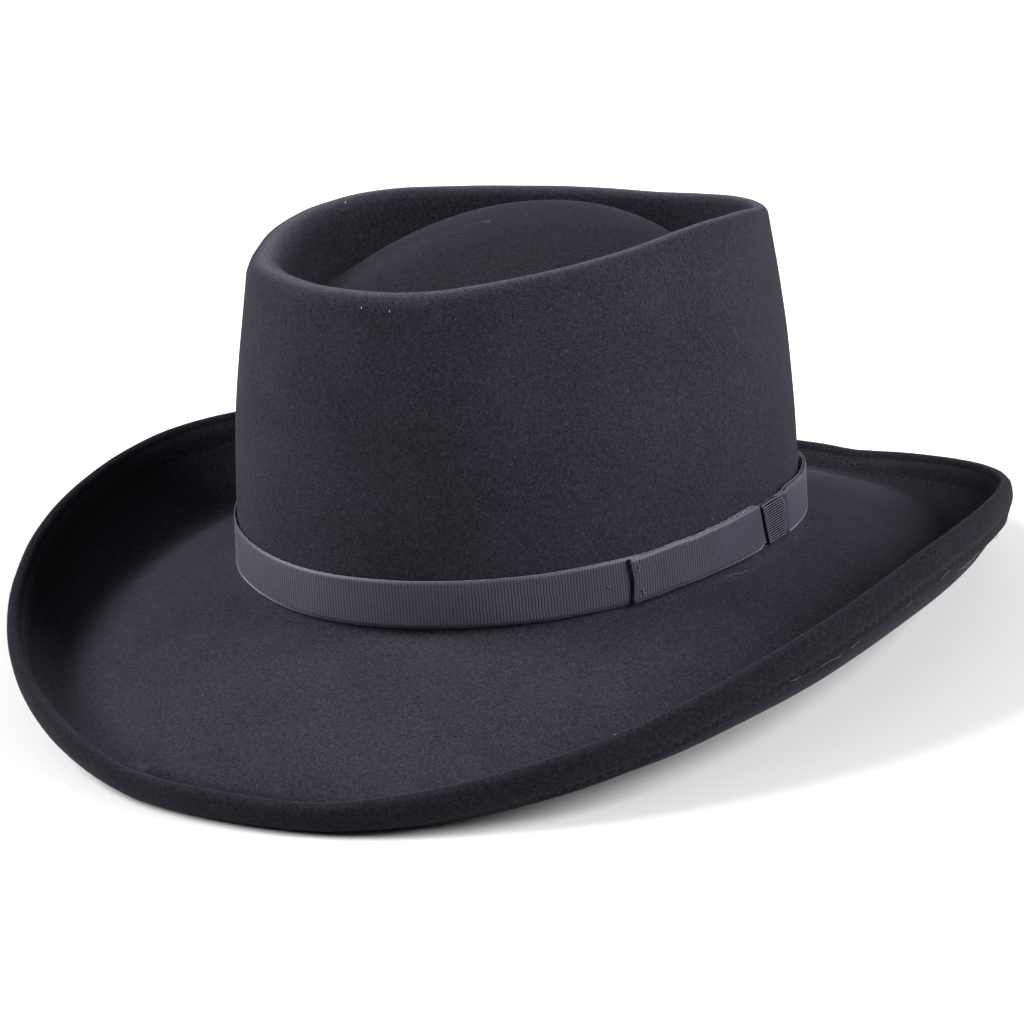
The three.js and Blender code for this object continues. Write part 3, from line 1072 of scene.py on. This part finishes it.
def wound(points, thickness, wander, seed):
    """A loose thread through some points, off its way by a little."""
    chance = random.Random(seed)
    path = []
    for i in range(THREAD_STEPS + 1):
        share = i / THREAD_STEPS
        place = share * (len(points) - 1)
        first = min(int(place), len(points) - 2)
        spot = points[first].lerp(points[first + 1], place - first)
        off = noise.noise_vector(Vector((i * 0.11, seed * 3.7, 0.0))) * wander * math.sin(math.pi * share)
        ends = 0.0 if i in (0, THREAD_STEPS) else 1.0
        path.append((spot + off * MM, thickness * chance.uniform(0.8, 1.1) * ends * MM))
    return path


def outer_spot(angle, back):
    """A point just off the outside of the turned-in edge."""
    curl = Curl(angle, crease_line(angle)[-1])
    reached = curl.lengths[-1] - back
    return felt_point(angle, curl.along(reached) - curl.way_out(reached) * (1.5 * FELT + THREAD_OFF))


loose = []
for number, (start, start_back, end, end_back) in enumerate(EDGE_THREADS):
    spots = [outer_spot(math.radians(mix(start, end, i / 4)), mix(start_back, end_back, i / 4))
             for i in range(5)]
    loose.append(wound(spots, THREAD, wander=0.7, seed=number))
brim_spots = [felt_point(math.radians(turn), Vector((reach, up))) for turn, reach, up in BRIM_THREAD]
loose.append(wound(brim_spots, THREAD, wander=0.5, seed=20))
finished("loose_threads", strands(loose, 5), light_thread)

lint = []
for number, (turn, reach, up, size) in enumerate(LINT):
    spot = felt_point(math.radians(turn), Vector((reach, up)))
    half = LINT_HALF * size * MM
    lint.append(wound([spot - half, spot + half], LINT_THICK * size, wander=0.3, seed=30 + number))
finished("lint_specks", strands(lint, 5), lint_fluff)

tacks = []
for along, up, out in TACKS:
    tack = []
    for step in TACK_STEPS:
        spot = on_band(along + step * TACK_ALONG, up + step * TACK_UP, out + TACK_BULGE * (1 - step * step))
        tack.append((spot, 0.0 if abs(step) == 1 else TACK_THREAD * MM))
    tacks.append(tack)
finished("ribbon_tacks", strands(tacks, 6), tack_thread)

# Camera, light and floor

VIEW_AZIMUTH = math.radians(38.0)
VIEW_ELEVATION = math.radians(19.166)
VIEW_ROLL = math.radians(-4.893)
VIEW_DISTANCE = 1373.1
VIEW_ASIDE = -2.8
VIEW_HEIGHT = 39.7
FOCAL_PIXELS = 4232.8
IMAGE_PIXELS = 1024
SENSOR = 36.0
WORLD_STRENGTH = 0.1
FLOOR_HALF = 6.0
# Soft suns: name, turn from the camera's side to the right, rise and spread in degrees, and strength
SUNS = (
    ("overhead", 0.0, 90.0, 80.0, 0.8),
    ("left_side", -98.0, 38.0, 40.0, 7.6),
    ("right_side", 72.0, 31.0, 34.0, 7.3),
)


def set_camera():
    away = Vector((math.sin(VIEW_AZIMUTH) * math.cos(VIEW_ELEVATION),
                   -math.cos(VIEW_AZIMUTH) * math.cos(VIEW_ELEVATION), math.sin(VIEW_ELEVATION)))
    level = Vector((math.cos(VIEW_AZIMUTH), math.sin(VIEW_AZIMUTH), 0.0))
    above = away.cross(level)
    right = level * math.cos(VIEW_ROLL) + above * math.sin(VIEW_ROLL)
    up = above * math.cos(VIEW_ROLL) - level * math.sin(VIEW_ROLL)
    aim = OVAL_MIDDLE + level * VIEW_ASIDE + Vector((0.0, 0.0, VIEW_HEIGHT))
    spot = (aim + away * VIEW_DISTANCE) * MM
    data = bpy.data.cameras.new("camera")
    data.sensor_width = SENSOR
    data.lens = SENSOR * FOCAL_PIXELS / IMAGE_PIXELS
    data.clip_start = 0.05
    camera = bpy.data.objects.new("camera", data)
    turned = Matrix((right, up, away)).transposed().to_4x4()
    camera.matrix_world = Matrix.Translation(spot) @ turned
    bpy.context.scene.collection.objects.link(camera)
    bpy.context.scene.camera = camera


def soft_sun(name, turn, rise, spread, strength):
    """A wide soft sun, turned from the camera's side to the right and raised from the floor."""
    around = VIEW_AZIMUTH + math.radians(turn)
    rise = math.radians(rise)
    away = Vector((math.sin(around) * math.cos(rise), -math.cos(around) * math.cos(rise), math.sin(rise)))
    data = bpy.data.lights.new(name, "SUN")
    data.angle = math.radians(spread)
    data.energy = strength
    lamp = bpy.data.objects.new(name, data)
    lamp.matrix_world = away.to_track_quat("Z", "Y").to_matrix().to_4x4()
    bpy.context.scene.collection.objects.link(lamp)


def set_floor():
    look = Look("floor_pale", {"Roughness": 0.9})
    look.dress("Base Color", FLOOR_COLOUR)
    bm = bmesh.new()
    bmesh.ops.create_grid(bm, x_segments=1, y_segments=1, size=FLOOR_HALF)
    mesh = bpy.data.meshes.new("floor")
    bm.to_mesh(mesh)
    bm.free()
    mesh.materials.append(look.material)
    floor = bpy.data.objects.new("floor", mesh)
    bpy.context.scene.collection.objects.link(floor)


def set_world():
    world = bpy.data.worlds.new("studio")
    bpy.context.scene.world = world
    world.use_nodes = True
    sky = world.node_tree.nodes["Background"]
    sky.inputs["Color"].default_value = (1.0, 1.0, 1.0, 1.0)
    sky.inputs["Strength"].default_value = WORLD_STRENGTH


set_camera()
set_floor()
set_world()
for sun in SUNS:
    soft_sun(*sun)
bpy.context.scene.view_settings.view_transform = "Standard"

bpy.context.view_layer.update()
